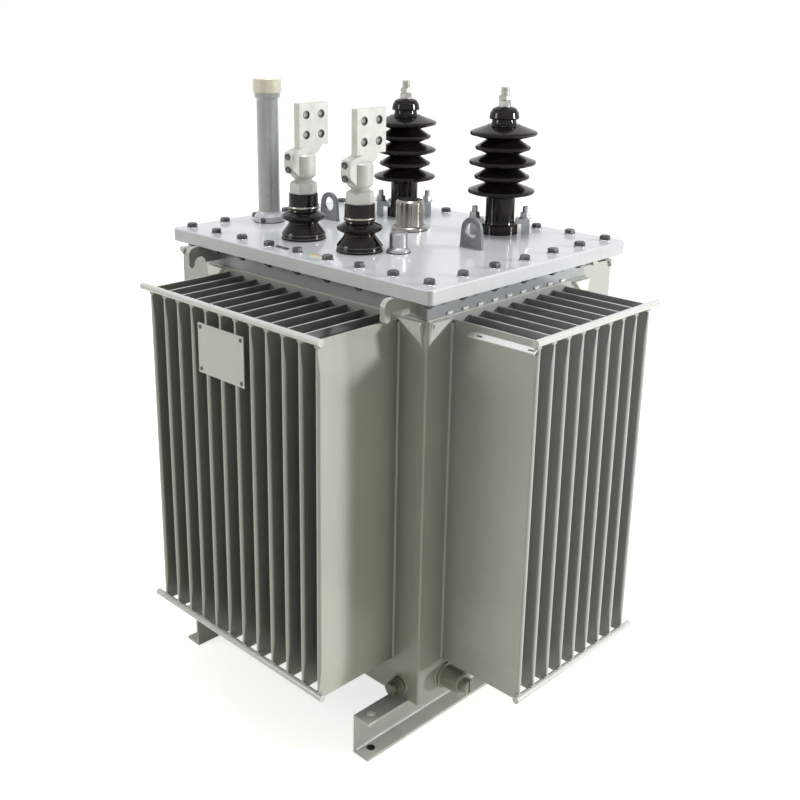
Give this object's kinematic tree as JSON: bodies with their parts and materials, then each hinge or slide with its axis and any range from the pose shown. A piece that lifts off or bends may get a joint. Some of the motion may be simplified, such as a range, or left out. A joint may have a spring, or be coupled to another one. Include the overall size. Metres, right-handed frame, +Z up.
{
  "type": "power transformer",
  "caption": "Oil filled power transformer: tank with corrugated cooling fins on all sides, bolted lid, shedded high voltage bushings, low voltage bushings with bolting pads, base channels.",
  "frame": {"origin": "on the ground, under the centre of the tank", "axes": "+Z up, -Y out of the front wall that carries the plate, +X to the right seen from the front, towards the drain valve"},
  "size_m": [1.036, 0.901, 1.27],
  "materials": {
    "tank_paint": "satin",
    "lid_paint": "satin",
    "lug_paint": "satin",
    "gauge_paint": "satin",
    "plate_paint": "satin",
    "gasket_rubber": "matte",
    "porcelain": "gloss",
    "tinned": "satin",
    "zinc": "satin",
    "relief_chrome": "polished",
    "cap_plastic": "satin"
  },
  "bodies": {
    "root": {"base_channel_left": "tank_paint", "base_channel_right": "tank_paint", "tank_floor": "tank_paint", "front_fin_wall": "tank_paint", "back_fin_wall": "tank_paint", "left_fin_wall": "tank_paint", "right_fin_wall": "tank_paint", "corner_posts": "tank_paint", "corner_gussets": "tank_paint", "top_rim": "tank_paint", "lid_gasket": "gasket_rubber", "lid": "lid_paint", "front_tie_rods": "tank_paint", "back_tie_rods": "tank_paint", "left_tie_rods": "tank_paint", "right_tie_rods": "tank_paint", "gauge_base": "lid_paint", "gauge_tube": "gauge_paint", "gauge_cap": "cap_plastic", "lv_bushing_a": "porcelain", "lv_bushing_b": "porcelain", "lv_nut_a": "tinned", "lv_nut_b": "tinned", "lv_connector_a": "tinned", "lv_connector_b": "tinned", "hv_bushing_a": "porcelain", "hv_bushing_b": "porcelain", "hv_terminal_a": "tinned", "hv_terminal_b": "tinned", "hv_clamps_a": "zinc", "hv_clamps_b": "zinc", "relief_valve_body": "relief_chrome", "relief_valve_base": "relief_chrome", "thermometer_pocket": "zinc", "lifting_lug_left": "lug_paint", "lifting_lug_right": "lug_paint", "tank_hooks": "tank_paint", "drain_valve": "tank_paint", "earth_boss": "zinc", "front_plate": "plate_paint", "plate_rail": "plate_paint"}
  },
  "joints": []
}
